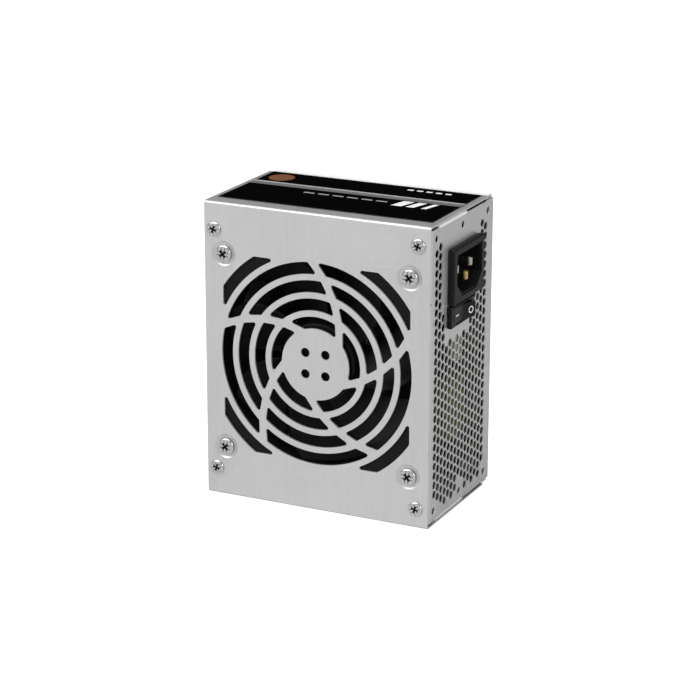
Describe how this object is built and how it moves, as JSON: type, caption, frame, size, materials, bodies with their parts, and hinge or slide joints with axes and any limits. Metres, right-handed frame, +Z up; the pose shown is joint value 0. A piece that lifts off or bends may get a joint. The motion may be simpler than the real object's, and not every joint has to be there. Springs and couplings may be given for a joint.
{
  "type": "power supply unit",
  "caption": "Small-form-factor computer power supply: folded steel case with a fan grille, a vented end, a mains inlet and a rocker switch.",
  "frame": {"origin": "middle of the narrow side that the unit stands on", "axes": "+X towards the inlet and switch panel, -Y towards the fan grille, +Z up towards the labelled narrow side"},
  "size_m": [0.106, 0.0651, 0.1252],
  "materials": {
    "case_steel": "satin zinc-plated sheet",
    "label_film": "printed film",
    "screw_steel": "nickel plated",
    "fan_plastic": "moulded",
    "shaft_steel": "ground",
    "bearing_bronze": "sintered",
    "enamelled_copper": "enamelled wire",
    "inlet_plastic": "fine spark texture",
    "tinned_contact": "tinned",
    "brass_contact": "bright",
    "switch_plastic": "satin",
    "bush_rubber": "matt",
    "board_laminate": "solder mask",
    "insulating_film": "satin",
    "ferrite": "sintered",
    "powder_core": "painted",
    "heatsink_aluminium": "extruded",
    "capacitor_sleeve": "shrink sleeve",
    "film_capacitor": "moulded",
    "moulded_package": "moulded",
    "fuse_sleeve": "sleeve",
    "lead_brown": "insulated wire",
    "lead_black": "insulated wire",
    "lead_blue": "insulated wire",
    "lead_green_yellow": "insulated wire"
  },
  "bodies": {
    "case": {"base_tray": "case_steel", "board_screw_lower_left": "screw_steel", "board_screw_lower_right": "screw_steel", "board_screw_upper_left": "screw_steel", "board_screw_upper_right": "screw_steel", "bridge_rectifier": "moulded_package", "bulk_capacitor": "capacitor_sleeve", "cable_outlet_bush": "bush_rubber", "case_screw_lower_left": "screw_steel", "case_screw_lower_right": "screw_steel", "case_screw_upper_left": "screw_steel", "case_screw_upper_right": "screw_steel", "circuit_board": "board_laminate", "earth_lead": "lead_green_yellow", "fan_bearing": "bearing_bronze", "fan_cover": "case_steel", "fan_frame": "fan_plastic", "fan_lead": "lead_black", "fan_screw_lower_left": "screw_steel", "fan_screw_lower_right": "screw_steel", "fan_screw_upper_left": "screw_steel", "fan_screw_upper_right": "screw_steel", "fan_stator": "enamelled_copper", "fuse": "fuse_sleeve", "inlet_earth_pin": "brass_contact", "inlet_housing": "inlet_plastic", "inlet_live_pin": "tinned_contact", "inlet_neutral_pin": "tinned_contact", "insulating_sheet": "insulating_film", "line_capacitor": "film_capacitor", "line_choke_core": "ferrite", "line_choke_winding": "enamelled_copper", "live_lead": "lead_brown", "main_transformer_core": "ferrite", "main_transformer_winding": "enamelled_copper", "neutral_lead": "lead_blue", "output_capacitor_1": "capacitor_sleeve", "output_capacitor_2": "capacitor_sleeve", "output_choke_core": "powder_core", "output_choke_winding": "enamelled_copper", "output_rectifier_1": "moulded_package", "output_rectifier_2": "moulded_package", "primary_heatsink": "heatsink_aluminium", "secondary_heatsink": "heatsink_aluminium", "side_label": "label_film", "standby_transformer_core": "ferrite", "standby_transformer_winding": "enamelled_copper", "standoff_lower_left": "brass_contact", "standoff_lower_right": "brass_contact", "standoff_upper_left": "brass_contact", "standoff_upper_right": "brass_contact", "switch_housing": "switch_plastic", "switch_terminal_in": "tinned_contact", "switch_terminal_out": "tinned_contact", "switched_live_lead": "lead_black", "switching_transistor_1": "moulded_package", "switching_transistor_2": "moulded_package"},
    "impeller": {"fan_rotor": "fan_plastic", "fan_shaft": "shaft_steel"},
    "rocker": {"switch_rocker": "switch_plastic"}
  },
  "joints": [
    {"name": "fan_spin", "type": "hinge", "parent": "case", "child": "impeller", "pos_m": [0, -0.0232, 0.0625], "axis": [0, 1, 0], "continuous": true},
    {"name": "rocker_tilt", "type": "hinge", "parent": "case", "child": "rocker", "pos_m": [0.049, -0.0039, 0.0841], "axis": [0, 0, 1], "range_deg": [0, 16]}
  ]
}
